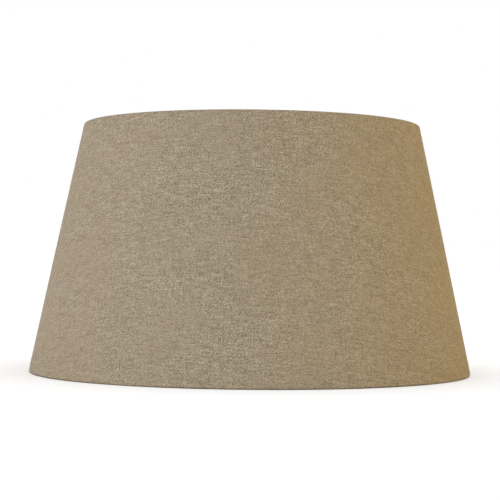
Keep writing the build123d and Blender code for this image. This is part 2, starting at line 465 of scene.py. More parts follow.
    def weave(
        self, g: Graph, across: Socket, along: Socket, warp: Threads, weft: Threads
    ) -> tuple[Socket, Socket]:
        """Which thread lies on top, and how high the cloth stands.

        Each thread is a rounded ridge, the size of a sine, times its own thickness. The product of
        the two sines changes sign from one crossing to the next, which is a plain weave's over and
        under: it lifts the warp where it lowers the weft. The higher of the two is what shows.

        Args:
            g: The graph.
            across: Place across the warp.
            along: Place along the warp.
            warp: What the warp's threads give there.
            weft: What the weft's threads give there.

        Returns:
            1 where the warp lies over and 0 where the weft does, and the height.
        """
        turn = math.pi / self.thread_pitch
        warp_sine = g.math("SINE", g.math("MULTIPLY", across, turn))
        weft_sine = g.math("SINE", g.math("MULTIPLY", along, turn))
        lift = g.math("MULTIPLY", g.math("MULTIPLY", warp_sine, weft_sine), self.crimp)
        warp_ridge = g.math("MULTIPLY", g.math("ABSOLUTE", warp_sine), warp.thick)
        weft_ridge = g.math("MULTIPLY", g.math("ABSOLUTE", weft_sine), weft.thick)
        warp_height = g.math("ADD", warp_ridge, lift)
        weft_height = g.math("SUBTRACT", weft_ridge, lift)
        higher = g.math("SUBTRACT", warp_height, weft_height)
        over = g.step(higher, Ramp(-self.crossing_blur, self.crossing_blur))
        return over, g.math("MAXIMUM", warp_height, weft_height)

    def nubs(self, g: Graph, place: Socket) -> Socket:
        """Small dark bits of straw, each in a random cell, with most cells left empty.

        Args:
            g: The graph.
            place: Place on the flat cloth.

        Returns:
            1 on a bit and 0 elsewhere.
        """
        cells = g.node("ShaderNodeTexVoronoi", feature="F1")
        g.join(place, cells.inputs["Vector"])
        cells.inputs["Scale"].default_value = 1.0 / self.nub_spacing
        parts = g.node("ShaderNodeSeparateColor")
        g.join(cells.outputs["Color"], parts.inputs[0])
        dot = g.step(cells.outputs["Distance"], self.nub_ramp)
        return g.math("MULTIPLY", dot, g.step(parts.outputs[0], self.nub_pick))


@dataclass(frozen=True)
class SmoothFinish:
    """A smooth moulded, painted or filmed surface: cloudy colour, fine texture and uneven gloss.

    Attributes:
        name: The material's name.
        base: Its colour.
        shade: The colour that it clouds to.
        roughness: Its middle roughness.
        gloss_spread: How far the roughness goes to each side of that.
        texture_size: Size of the fine texture's cells.
        texture_depth: Depth of the fine texture.
        cloud_scale: How many clouds fit in a metre.
        cloud_ramp: How much of the shade the clouds have.
        coat: Strength of the clear coat.
        subsurface: How much light goes under the surface.
        subsurface_radius: How far it goes, in each colour.
        metallic: 1 for bare metal.
    """

    name: str
    base: Colour
    shade: Colour
    roughness: float
    gloss_spread: float
    texture_size: float
    texture_depth: float
    cloud_scale: float = 30.0
    cloud_ramp: Ramp = Ramp(0.35, 0.7)
    coat: float = 0.0
    subsurface: float = 0.0
    subsurface_radius: tuple[float, float, float] = (2 * MM, 2 * MM, 1.5 * MM)
    metallic: float = 0.0

    def material(self) -> bpy.types.Material:
        """Builds the finish.

        Returns:
            The material.
        """
        g = Graph(self.name)
        place = g.object_point()
        cloud = g.noise(place, self.cloud_scale, detail=3.0)
        texture = g.noise(place, 1.0 / self.texture_size)
        gloss = Ramp(*NOISE_MIDDLE, self.roughness - self.gloss_spread, self.roughness + self.gloss_spread)
        colour = g.blend(g.step(cloud, self.cloud_ramp), self.base, self.shade)
        g.join(colour, g.shader.inputs["Base Color"])
        g.join(g.step(cloud, gloss), g.shader.inputs["Roughness"])
        g.bump(texture, self.texture_depth)
        g.shader.inputs["Metallic"].default_value = self.metallic
        g.shader.inputs["Coat Weight"].default_value = self.coat
        g.shader.inputs["Subsurface Weight"].default_value = self.subsurface
        g.shader.inputs["Subsurface Radius"].default_value = self.subsurface_radius
        return g.material


@dataclass(frozen=True)
class TapeFinish:
    """Creped paper tape: fine ribs across it, and fibres in the paper.

    Attributes:
        name: The material's name.
        base: Its colour.
        shade: The colour of its darker fibres.
        shade_ramp: How much of that colour the fibres have.
        gloss: Its roughness, by the fibres.
        rib_pitch: Distance from one rib to the next.
        rib_depth: Height of a rib.
        fibre_size: Size of a tuft of fibres.
        fibre_roughness: How strong the finest fibres are.
    """

    name: str = "seam_paper"
    base: Colour = (0.72, 0.7, 0.64)
    shade: Colour = (0.6, 0.57, 0.5)
    shade_ramp: Ramp = Ramp(0.35, 0.7, 0.0, 0.7)
    gloss: Ramp = Ramp(*NOISE_MIDDLE, 0.7, 0.85)
    rib_pitch: float = 1.1 * MM
    rib_depth: float = 0.06 * MM
    fibre_size: float = 0.8 * MM
    fibre_roughness: float = 0.6

    def material(self) -> bpy.types.Material:
        """Builds the finish.

        Returns:
            The material.
        """
        g = Graph(self.name)
        place = g.object_point()
        parts = g.node("ShaderNodeSeparateXYZ")
        g.join(place, parts.inputs[0])
        turn = g.math("MULTIPLY", parts.outputs[2], math.pi / self.rib_pitch)
        rib = g.math("ABSOLUTE", g.math("SINE", turn))
        fibre = g.noise(place, 1.0 / self.fibre_size, detail=3.0, roughness=self.fibre_roughness)
        colour = g.blend(g.step(fibre, self.shade_ramp), self.base, self.shade)
        g.join(colour, g.shader.inputs["Base Color"])
        g.bump(g.math("ADD", rib, fibre), self.rib_depth)
        g.join(g.step(fibre, self.gloss), g.shader.inputs["Roughness"])
        return g.material


POWDER_COAT = SmoothFinish(
    name="white_powder_coat",
    base=(0.72, 0.72, 0.69),
    shade=(0.66, 0.66, 0.63),
    roughness=0.38,
    gloss_spread=0.06,
    texture_size=0.7 * MM,
    texture_depth=0.03 * MM,
    coat=0.15,
)
ZINC = SmoothFinish(
    name="zinc_plate",
    base=(0.62, 0.63, 0.65),
    shade=(0.48, 0.49, 0.52),
    roughness=0.34,
    gloss_spread=0.09,
    texture_size=0.4 * MM,
    texture_depth=0.012 * MM,
    cloud_scale=400.0,
    metallic=1.0,
)
NYLON = SmoothFinish(
    name="natural_nylon",
    base=(0.7, 0.68, 0.6),
    shade=(0.62, 0.59, 0.5),
    roughness=0.45,
    gloss_spread=0.06,
    texture_size=0.8 * MM,
    texture_depth=0.01 * MM,
    cloud_scale=150.0,
    subsurface=0.2,
)
REDUCER_PLASTIC = SmoothFinish(
    name="reducer_moulding",
    base=(0.74, 0.74, 0.71),
    shade=(0.69, 0.69, 0.65),
    roughness=0.32,
    gloss_spread=0.07,
    texture_size=1.2 * MM,
    texture_depth=0.01 * MM,
    cloud_scale=60.0,
    subsurface=0.1,
)
LINING_FILM = SmoothFinish(
    name="white_film",
    base=(0.7, 0.69, 0.65),
    shade=(0.67, 0.655, 0.61),
    roughness=0.5,
    gloss_spread=0.05,
    texture_size=1.6 * MM,
    texture_depth=0.03 * MM,
    cloud_scale=12.0,
)


# ---------------------------------------------------------------------------------------------
# Surfaces
# ---------------------------------------------------------------------------------------------


def smooth_ramp(value: np.ndarray, low: float, high: float) -> np.ndarray:
    """0 below low, 1 above high, and a smooth cubic between: 3t² - 2t³ of the share t of the way."""
    share = np.clip((value - low) / (high - low), 0.0, 1.0)
    return share * share * (3.0 - 2.0 * share)


def ripples(turn: np.ndarray, waves: tuple[int, ...], seed: int) -> np.ndarray:
    """A random closed wave round the shade, of unit height.

    It is the sum of one cosine for each count in waves, each with its own random phase and
    strength, divided by the square root of their number.

    Args:
        turn: Angles round the axis, in radians.
        waves: How many waves each cosine makes in a full turn.
        seed: The random seed.

    Returns:
        The wave's height at each angle.
    """
    draw = np.random.default_rng(seed)
    phase = draw.uniform(0.0, 2.0 * np.pi, len(waves))
    strength = draw.uniform(0.5, 1.0, len(waves))
    return (strength * np.cos(turn[..., None] * np.array(waves) + phase)).sum(-1) / math.sqrt(len(waves))


def surface_object(
    name: str,
    points: np.ndarray,
    kept: np.ndarray | None = None,
    flat: np.ndarray | None = None,
    closed_columns: bool = False,
) -> bpy.types.Object:
    """Makes a mesh object from a grid of points.

    Each square of the grid is one face, wound anticlockwise with the rows going up and the columns
    going right, so a grid whose columns run anticlockwise about +Z faces outwards.

    Args:
        name: The object's name.
        points: Grid of places, rows by columns by 3.
        kept: Which faces to keep, or None for all.
        flat: Grid of flat places for the UV map named flat, rows by columns by 2.
        closed_columns: Whether the last column joins the first.

    Returns:
        The object, with smooth shading.
    """
    rows, columns = points.shape[:2]
    index = np.arange(rows * columns).reshape(rows, columns)
    if closed_columns:
        index = np.hstack([index, index[:, :1]])
    corners = np.stack([index[:-1, :-1], index[:-1, 1:], index[1:, 1:], index[1:, :-1]], -1)
    faces = corners[kept] if kept is not None else corners.reshape(-1, 4)
    used = np.unique(faces)
    number = np.zeros(rows * columns, int)
    number[used] = np.arange(len(used))
    mesh = bpy.data.meshes.new(name)
    mesh.from_pydata(points.reshape(-1, 3)[used], [], number[faces].tolist())
    if flat is not None:
        layer = mesh.uv_layers.new(name="flat")
        layer.data.foreach_set("uv", flat.reshape(-1, 2)[faces.ravel()].ravel())
    mesh.polygons.foreach_set("use_smooth", np.ones(len(mesh.polygons), bool))
    made = bpy.data.objects.new(name, mesh)
    bpy.context.scene.collection.objects.link(made)
    return made


def thicken(piece: bpy.types.Object, thickness: float) -> None:
    """Gives a sheet its thickness, half to each side, with its edges closed.

    Args:
        piece: The sheet.
        thickness: Its thickness, in metres.
    """
    solid = piece.modifiers.new("thickness", "SOLIDIFY")
    solid.thickness = thickness
    solid.offset = 0.0
    solid.use_even_offset = True


def finish_piece(piece: bpy.types.Object, material: bpy.types.Material) -> None:
    """Gives a new piece its material, and sets it on the shade's body.

    Args:
        piece: The piece.
        material: Its material.
    """
    piece.data.materials.append(material)
    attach(piece, SHADE_BODY)
    log.info("%s: %d faces, rides on %s", piece.name, len(piece.data.polygons), SHADE_BODY)


@dataclass(frozen=True)
class Wall:
    """The cone that every layer of the wall follows, set by the two wire rings.

    Angles round the axis are 0 at the front and grow anticlockwise, so the seam is at plus and
    minus pi. Depths are measured along the wall's normal from the line through the wire's centres.

    Attributes:
        bottom_radius: Radius of the bottom ring, to its wire's centre.
        bottom_z: Height of the bottom ring's wire centre.
        top_radius: Radius of the top ring, to its wire's centre.
        top_z: Height of the top ring's wire centre.
        wire: Radius of the rings' wire.
        tape: Thickness of the tape on the rings.
        film: Thickness of the film.
        linen: Thickness of the linen.
        waviness: How far the wall stands out of a true cone.
        waves: How many waves the wall makes round the shade.
        wave_seed: The waves' random seed.
    """

    bottom_radius: float
    bottom_z: float
    top_radius: float
    top_z: float
    wire: float
    tape: float = 0.15 * MM
    film: float = 0.35 * MM
    linen: float = 0.55 * MM
    waviness: float = 0.3 * MM
    waves: tuple[int, ...] = (3, 5, 8, 11)
    wave_seed: int = 7

    @classmethod
    def from_frame(cls) -> "Wall":
        """Reads the rings' sizes from the CAD frame.

        Returns:
            The wall.
        """
        low_foot, high_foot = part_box("bottom_ring")
        high_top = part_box("top_ring")[1]
        wire = (high_foot[2] - low_foot[2]) / 2
        return cls(high_foot[0] - wire, low_foot[2] + wire, high_top[0] - wire, high_top[2] - wire, wire)

    @property
    def taper(self) -> float:
        """Angle between the wall and the axis, and of the wall's normal above level."""
        return math.atan2(self.bottom_radius - self.top_radius, self.top_z - self.bottom_z)

    @property
    def slant(self) -> float:
        """Length of the wall between the two rings' tangent points."""
        return math.hypot(self.bottom_radius - self.top_radius, self.top_z - self.bottom_z)

    @property
    def film_middle(self) -> float:
        """Depth line of the film's middle."""
        return self.wire + self.tape + self.film / 2

    @property
    def linen_middle(self) -> float:
        """Depth line of the linen's middle."""
        return self.wire + self.tape + self.film + self.linen / 2

    def radius(self, share: np.ndarray) -> np.ndarray:
        """Radius of the line between the wire's centres, a share of the way up it."""
        return self.bottom_radius + (self.top_radius - self.bottom_radius) * share

    def wave(self, turn: np.ndarray, share: np.ndarray) -> np.ndarray:
        """How far the laminated wall stands out of a true cone.

        Slow ripples round the shade, faded to nothing at both rings by a half sine up the wall.

        Args:
            turn: Angle round the axis.
            share: How far up the wall, from 0 to 1.

        Returns:
            The distance, along the wall's normal.
        """
        fade = np.sin(np.pi * np.clip(share, 0, 1))
        return self.waviness * ripples(turn, self.waves, self.wave_seed) * fade

    def place(
        self, turn: np.ndarray, share: np.ndarray, angle: np.ndarray, distance: np.ndarray
    ) -> np.ndarray:
        """Points at a distance from a point on the line between the wire's centres.

        Args:
            turn: Angle round the axis.
            share: How far up the line, from 0 at the bottom ring to 1 at the top ring.
            angle: Direction of the point from the line, in radians above level and outwards.
            distance: Distance from the line, in metres.

        Returns:
            The points, with one more axis of 3.
        """
        turn, share, angle, distance = np.broadcast_arrays(turn, share, angle, distance)
        radius = self.radius(share) + distance * np.cos(angle)
        height = self.bottom_z + (self.top_z - self.bottom_z) * share + distance * np.sin(angle)
        return np.stack([radius * np.sin(turn), -radius * np.cos(turn), height], -1)


@dataclass(frozen=True)
class Rows:
    """The linen's lines round the shade, from raw edge to raw edge, each a column of an array.

    Attributes:
        share: How far up the wall each line is, from 0 to 1.
        swept: Its swept angle from the wall's tangent, as a share of the whole hem.
        side: +1 in the top hem, -1 in the bottom one, or 0.
    """

    share: np.ndarray
    swept: np.ndarray
    side: np.ndarray


@dataclass(frozen=True)
class Lines:
    """The linen's lines up the shade, from the lap's inner end to the turned edge on its outer one.

    Attributes:
        anchor: Angle round the axis that each line is measured from.
        reach: How far past that angle it is, a distance that doesn't taper.
        drop: How far it stands in from the outer end of the lap.
        travelled: Its distance from the anchor along the cloth.
        turned: Whether the face after it is in the turned edge.
    """

    anchor: np.ndarray
    reach: np.ndarray
    drop: np.ndarray
    travelled: np.ndarray
    turned: np.ndarray


@dataclass
class LinenCover:
    """The linen: one sheet, lapped at the back, with both edges rolled over the wire rings.

    A row of the grid is a line round the shade and a column is a line from the raw edge inside the
    bottom ring to the raw edge inside the top ring.

    Attributes:
        wall: The wall that it lies on.
        material: Its material.
        columns: Even lines round the sheet.
        seam_columns: More lines at each side of the seam.
        seam_reach: How far round those go, where 1 is the whole of the lap's rise.
        least_apart: Least distance between two lines, in half widths of a notch.
        hem_rows: Lines in each hem.
        wall_rows: Lines up the wall.
        hem_sweep: Angle that a hem goes round its wire.
        hem_sweep_spread: How uneven that angle is.
        hem_waves: How many waves the raw edge makes round the shade.
        hem_seed: Their random seed.
        lap: Width of the lap.
        lap_rise: Distance over which the sheet rises to the lap.
        lap_lift: How far the outer end stands off the inner one.
        lap_bedding: How far over the linen's thickness the outer end stands beside the rings.
        lap_columns: Lines in each half of the lap.
        fold_columns: Lines round the fold of the turned edge.
        fold_return: Width of the turned edge.
        fold_clear: Distance from each ring at which the turned edge stops.
        hem_over: How far the outer end stands off in the hems.
        hem_under: How far the inner end goes in there.
        squash_sweep: Angle over which the lap is pressed down.
        pucker: Height of the gathers in the hems.
        pucker_waves: How many gathers there are round the shade.
        pucker_start: Angle round the wire at which they start.
        pucker_full: Angle round the wire at which they have their full height.
        bottom_seed: The bottom hem's random seed.
        top_seed: The top hem's random seed.
        notch_half_width: Half the width of a notch for an arm.
        notch_lines: Where the lines at a notch stand, in half widths.
        notch_slack: How much wider than its lines a notch is looked for.
        notch_start: Angle round the wire at which a notch starts.
    """

    wall: Wall
    material: bpy.types.Material
    columns: int = 440
    seam_columns: int = 16
    seam_reach: float = 1.1
    least_apart: float = 0.25
    hem_rows: int = 17
    wall_rows: int = 26
    hem_sweep: float = math.radians(305)
    hem_sweep_spread: float = math.radians(7)
    hem_waves: tuple[int, ...] = (5, 9, 14, 23)
    hem_seed: int = 3
    lap: float = 10 * MM
    lap_rise: float = 14 * MM
    lap_lift: float = 1.2 * MM
    lap_bedding: float = 0.06 * MM
    lap_columns: int = 4
    fold_columns: int = 4
    fold_return: float = 6 * MM
    fold_clear: float = 10 * MM
    hem_over: float = 0.05 * MM
    hem_under: float = 0.45 * MM
    squash_sweep: float = math.radians(60)
    pucker: float = 0.16 * MM
    pucker_waves: tuple[int, ...] = tuple(range(61, 190, 9))
    pucker_start: float = math.radians(110)
    pucker_full: float = math.radians(190)
    bottom_seed: int = 11
    top_seed: int = 12
    notch_half_width: float = 1.7 * MM
    notch_lines: tuple[float, ...] = (-1.0, -0.33, 0.33, 1.0)
    notch_slack: float = 1.05
    notch_start: float = math.radians(135)

    def build(self) -> bpy.types.Object:
        """Puts rows and lines together into the sheet's grid, trims it and thickens it.

        Returns:
            The piece.
        """
        wall, rows, lines = self.wall, self.rows(), self.lines()
        turn = lines.anchor + lines.reach / wall.radius(rows.share)
        uneven = self.hem_sweep_spread * ripples(turn, self.hem_waves, self.hem_seed)
        hem = rows.swept * (self.hem_sweep + uneven)
        distance = wall.linen_middle + wall.wave(turn, rows.share) * (rows.side == 0)
        distance = distance + self.lap_offset(rows, turn) - lines.drop + self.puckers(rows, turn)
        points = wall.place(turn, rows.share, wall.taper + rows.side * hem, distance)
        flat = self.flat_place(rows, lines, hem * wall.linen_middle)
        piece = surface_object("linen_sheet", points, self.kept_faces(rows, lines, hem), flat)
        thicken(piece, wall.linen)
        finish_piece(piece, self.material)
        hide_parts("linen_cover")
        return piece

    def rows(self) -> Rows:
        """The lines round the shade: the bottom hem, the wall and the top hem.

        Returns:
            The rows.
        """
        steps = np.linspace(0, 1, self.hem_rows + 1)[1:]
        up = np.linspace(0, 1, self.wall_rows)
        none = np.zeros(self.wall_rows)
        share = np.concatenate([np.zeros(self.hem_rows), up, np.ones(self.hem_rows)])
        swept = np.concatenate([steps[::-1], none, steps])
        side = np.concatenate([-np.ones(self.hem_rows), none, np.ones(self.hem_rows)])
        return Rows(share[:, None], swept[:, None], side[:, None])

    def turns(self) -> np.ndarray:
        """Angles of the lines in the full turn: even, with more at the seam and at the notches.

        Returns:
            The angles, from minus pi to pi.
        """
        even = np.linspace(-np.pi, np.pi, self.columns + 1)
        seam = (self.lap / 2 + self.lap_rise) / self.wall.top_radius
        rise = np.linspace(np.pi - seam * self.seam_reach, np.pi, self.seam_columns)
        half = self.notch_half_width / self.wall.top_radius
        notches = np.concatenate([arm + half * np.array(self.notch_lines) for arm in ARM_TURNS])
        turns = np.sort(np.concatenate([even, rise, -rise, notches]))
        turns = turns[np.diff(turns, prepend=-np.inf) > self.least_apart * half]
        turns[-1] = np.pi
        return turns

    def lines(self) -> Lines:
        """The lines up the shade: under the lap, round the shade, over the lap, round and back.

        The fold of the turned edge is a half circle, so it reaches out by its radius times a sine
        and drops by its radius times one less a cosine.

        Returns:
            The lines.
        """
        turns = self.turns()
        steps = np.arange(1, self.lap_columns + 1) / self.lap_columns
        fold_turn = np.linspace(0, np.pi, self.fold_columns + 1)[1:]
        fold_radius = self.lap_lift / 4
        edge = self.lap / 2
        under, over, back = -edge * steps[::-1], edge * steps, edge - self.fold_return * steps
        fold_reach = edge + fold_radius * np.sin(fold_turn)
        fold_drop = fold_radius * (1 - np.cos(fold_turn))
        fold_travel = edge + fold_radius * fold_turn
        back_travel = edge + fold_radius * np.pi + self.fold_return * steps
        round_shade = np.zeros(len(turns))
        single = len(under) + len(turns) + len(over)
        doubled = len(fold_turn) + len(back)
        before, after = np.full(len(under), -np.pi), np.full(len(over) + doubled, np.pi)
        return Lines(
            anchor=np.concatenate([before, turns, after]),
            reach=np.concatenate([under, round_shade, over, fold_reach, back]),
            drop=np.concatenate([np.zeros(single), fold_drop, np.full(len(back), 2 * fold_radius)]),
            travelled=np.concatenate([under, round_shade, over, fold_travel, back_travel]),
            turned=np.concatenate([np.zeros(single - 1, bool), np.ones(doubled, bool)]),
        )

    def lap_offset(self, rows: Rows, turn: np.ndarray) -> np.ndarray:
        """How far the sheet's two ends stand off, out over the lap or in under it.

        On the wall the outer end rises by two thicknesses, to leave room for its turned edge. In
        the hems the bulk is pressed down: the outer end stands out a little and the inner one goes
        in towards the wire.

        Args:
            rows: The sheet's rows.
            turn: Angles round the axis.

        Returns:
            The distances outwards.
        """
        wall = self.wall
        near = wall.slant * np.minimum(rows.share, 1 - rows.share)
        first = wall.linen + self.lap_bedding
        pressed = smooth_ramp(rows.swept * self.hem_sweep, 0.0, self.squash_sweep)
        lift = first + (self.lap_lift - first) * smooth_ramp(near, 0.0, self.fold_clear)
        lift = lift + (self.hem_over - lift) * pressed
        radius = wall.radius(rows.share)
        start, full = -self.lap / 2 - self.lap_rise, -self.lap / 2
        rise = smooth_ramp((turn - np.pi) * radius, start, full)
        fall = smooth_ramp((-np.pi - turn) * radius, start, full)
        return lift * rise - self.hem_under * pressed * fall

    def puckers(self, rows: Rows, turn: np.ndarray) -> np.ndarray:
        """Small gathers inside the rolled edges, growing from the outermost line to the raw edge.

        Args:
            rows: The sheet's rows.
            turn: Angles round the axis.

        Returns:
            The gathers' heights.
        """
        inside = smooth_ramp(rows.swept * self.hem_sweep, self.pucker_start, self.pucker_full)
        bottom = ripples(turn, self.pucker_waves, self.bottom_seed)
        top = ripples(turn, self.pucker_waves, self.top_seed)
        return self.pucker * inside * np.where(rows.side < 0, bottom, top)

    def flat_place(self, rows: Rows, lines: Lines, past_ring: np.ndarray) -> np.ndarray:
        """Place on the flat cut, in metres.

        The cone unrolls into a sector of a ring: a point's distance from the sector's centre is its
        slant distance from the cone's tip, and its angle is its angle round the axis times the
        sine of the taper. The warp then runs straight up the middle of the front.

        Args:
            rows: The sheet's rows.
            lines: The sheet's lines up the shade.
            past_ring: Distance round the wire, along the cloth.

        Returns:
            The flat places, with one more axis of 2.
        """
        wall = self.wall
        tip = (wall.bottom_radius + wall.linen_middle * math.cos(wall.taper)) / math.sin(wall.taper)
        slant = tip - wall.slant * rows.share - rows.side * past_ring
        angle = lines.anchor * math.sin(wall.taper) + lines.travelled / slant
        return np.stack([slant * np.sin(angle), -slant * np.cos(angle)], -1)

    def kept_faces(self, rows: Rows, lines: Lines, hem: np.ndarray) -> np.ndarray:
        """Which faces of the grid are cloth.

        The turned edge stops short of both rings. The top hem is notched where the arms pass, from
        just above each arm to the raw edge.

        Args:
            rows: The sheet's rows.
            lines: The sheet's lines up the shade.
            hem: Swept angle round the wire at each point.

        Returns:
            Whether each face is kept.
        """
        near = self.wall.slant * np.minimum(rows.share, 1 - rows.share)
        clear = (near[:-1] > self.fold_clear) & (near[1:] > self.fold_clear)
        left, right = lines.anchor[:-1], lines.anchor[1:]
        half = self.notch_half_width / self.wall.top_radius * self.notch_slack
        at_arm = np.zeros(len(left), bool)
        for arm in ARM_TURNS:
            at_arm |= (left > arm - half) & (right < arm + half)
        at_arm &= np.diff(lines.reach) == 0
        lowest = np.minimum(hem[:-1, :-1], hem[1:, :-1])
        past_arm = (rows.side[:-1] > 0) & (rows.side[1:] > 0) & (lowest > self.notch_start)
        return (~lines.turned | clear) & ~(past_arm & at_arm)


@dataclass
class Lining:
    """The white film behind the linen, with its butt joint, and the tape over the joint.

    Attributes:
        wall: The wall that both lie on.
        film: The film's material.
        paper: The tape's material.
        columns: Faces round the film.
        rows: Lines up the film.
        tape_columns: Lines across the tape.
        joint_gap: Gap at the film's joint.
        tape_width: Width of the tape.
        tape_thickness: Thickness of the tape.
        tape_clear: Distance from each ring at which the tape stops.
    """

    wall: Wall
    film: bpy.types.Material
    paper: bpy.types.Material
    columns: int = 240
    rows: int = 22
    tape_columns: int = 9
    joint_gap: float = 0.2 * MM
    tape_width: float = 20 * MM
    tape_thickness: float = 0.35 * MM
    tape_clear: float = 5.1 * MM

    def build(self) -> None:
        """Builds the film and its tape."""
        wall = self.wall
        share = np.linspace(0, 1, self.rows)[:, None]
        half_gap = self.joint_gap / 2 / wall.radius(share)
        turn = np.linspace(-1, 1, self.columns + 1) * (np.pi - half_gap)
        depth = wall.film_middle + wall.wave(turn, share)
        film = surface_object("film_lining", wall.place(turn, share, wall.taper, depth))
        thicken(film, wall.film)
        finish_piece(film, self.film)
        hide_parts("styrene_lining")

        low = self.tape_clear / wall.slant
        share = np.linspace(low, 1 - low, self.rows * 2)[:, None]
        turn = np.pi + np.linspace(-1, 1, self.tape_columns) * self.tape_width / 2 / wall.radius(share)
        inside = wall.film_middle - wall.film / 2 - self.tape_thickness / 2
        depth = inside + wall.wave(turn, share)
        tape = surface_object("seam_paper_tape", wall.place(turn, share, wall.taper, depth))
        thicken(tape, self.tape_thickness)
        finish_piece(tape, self.paper)
        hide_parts("seam_tape")


@dataclass
class RingTapes:
    """The double-sided tape wrapped over each wire ring, on the side that faces the film.

    Attributes:
        wall: The wall whose rings they go on.
        material: Their material.
        sweep: Angle that a tape goes round its wire.
        columns: Faces round the shade.
        rows: Lines across a tape.
    """

    wall: Wall
    material: bpy.types.Material
    sweep: float = math.radians(200)
    columns: int = 200
    rows: int = 9

    def build(self) -> None:
        """Builds both tapes."""
        wall = self.wall
        turn = np.linspace(-np.pi, np.pi, self.columns, endpoint=False)
        angle = (wall.taper + np.linspace(-0.5, 0.5, self.rows) * self.sweep)[:, None]
        for name, share in (("bottom_ring_tape", 0.0), ("top_ring_tape", 1.0)):
            points = wall.place(turn, share, angle, wall.wire + wall.tape / 2)
            piece = surface_object(f"{name}_wrap", points, closed_columns=True)
            thicken(piece, wall.tape)
            finish_piece(piece, self.material)
            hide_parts(name)


@dataclass
class Spider:
    """The weld beads where the arms meet the band, and the finishes of the wire and sheet parts.

    Attributes:
        coat: The powder coat on the wire, the band and the fitter ring.
        zinc: The rivets' material.
        nylon: The spacers' material.
        plastic: The reducer's material.
        bead_radius: Radius of a bead at the band.
        bead_length: How far a bead runs out along its arm.
        bead_sunk: How far it starts inside the band.
        bead_fall: Power that its profile falls by.
        bead_lumps: Height of its lumps.
        bead_waves: How many lumps go round it.
        bead_seed: Where the beads' random seeds start.
        bead_sides: Lines along a bead.
        bead_rings: Lines round a bead.
        wire_radius: Radius of an arm.
        wire_share: The bead's radius at its thin end, as a share of that.
        weld_merge: Distance within which points at a bead's ends are one.
    """

    coat: bpy.types.Material
    zinc: bpy.types.Material
    nylon: bpy.types.Material
    plastic: bpy.types.Material
    bead_radius: float = 2.6 * MM
    bead_length: float = 2.0 * MM
    bead_sunk: float = 0.35 * MM
    bead_fall: float = 1.8
    bead_lumps: float = 0.22 * MM
    bead_waves: tuple[int, ...] = (2, 3, 5)
    bead_seed: int = 40
    bead_sides: int = 28
    bead_rings: int = 10
    wire_radius: float = 1.25 * MM
    wire_share: float = 0.9
    weld_merge: float = 0.001 * MM

    def build(self) -> None:
        """Dresses the CAD nodes and adds the welds."""
        self.dress(self.coat, "top_ring", "bottom_ring", "pivot_ring", "tilt_ring")
        self.dress(self.coat, "spider_arm_1", "spider_arm_2", "spider_arm_3")
        self.dress(self.zinc, "pivot_rivet_left", "pivot_rivet_right")
        self.dress(self.nylon, "pivot_spacer_left", "pivot_spacer_right")
        self.dress(self.plastic, "reducer_ring")
        low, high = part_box("pivot_ring")
        for number, turn in enumerate(ARM_TURNS, start=1):
            self.bead(number, turn, high[0], (low[2] + high[2]) / 2)

    def dress(self, material: bpy.types.Material, *nodes: str) -> None:
        """Puts a finish on CAD nodes' material slots.

        Args:
            material: The finish.
            *nodes: The nodes' names.
        """
        for node in nodes:
            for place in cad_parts[node].material_slots:
                place.material = material
            log.info("%s: dressed in %s", node, material.name)

    def bead(self, number: int, turn: float, radius: float, height: float) -> None:
        """A lumpy fillet weld round an arm's end.

        Its profile falls from the bead's full radius at the band to the wire's radius along a
        concave curve, and is carried round the arm, with ripples in its radius. A point at the
        middle of each end closes it.

        Args:
            number: The arm's number.
            turn: The arm's angle round the axis.
            radius: Radius of the band's outside.
            height: Height of the arm at the band.
        """
        around = np.linspace(0, 2 * np.pi, self.bead_sides, endpoint=False)
        share = np.linspace(0, 1, self.bead_rings)[:, None]
        fall = (1 - share) ** self.bead_fall
        thin = self.wire_radius * self.wire_share
        lumps = ripples(around, self.bead_waves, self.bead_seed + number)
        reach = thin + (self.bead_radius - thin) * fall + self.bead_lumps * fall * lumps
        side, up = reach * np.cos(around), height + reach * np.sin(around)
        out = np.broadcast_to(radius - self.bead_sunk + share * self.bead_length, side.shape)
        x = out * np.sin(turn) + side * np.cos(turn)
        y = -out * np.cos(turn) + side * np.sin(turn)
        points = np.stack([x, y, up], -1)
        ends = [np.broadcast_to(ring.mean(0), (1, self.bead_sides, 3)) for ring in points[[0, -1]]]
        points = np.concatenate([ends[0], points, ends[1]])
        piece = surface_object(f"weld_bead_{number}", points, closed_columns=True)
        weld = piece.modifiers.new("close the ends", "WELD")
        weld.merge_threshold = self.weld_merge
        finish_piece(piece, self.coat)


# ---------------------------------------------------------------------------------------------
# Studio
# ---------------------------------------------------------------------------------------------


class Lights(Enum):
    """What a light falls on."""

    SHADE = "everything but the floor"
    LINEN = "the linen alone"
    FITTINGS = "everything but the floor and the linen"
    FLOOR = "the floor alone"


@dataclass(frozen=True)
class Softbox:
    """A broad, far light.

    Attributes:
        name: Its name.
        azimuth: Where it stands, in degrees to the right of the camera as seen from the shade.
        elevation: How high it stands, in degrees.
        strength: Its brightness, in watts a square metre.
        colour: Its colour.
        spread: Its angular size, in degrees, which sets how soft its shadows are.
        lit: What it lights.
    """

    name: str
    azimuth: float
    elevation: float
    strength: float
    colour: Colour
    spread: float
    lit: Lights


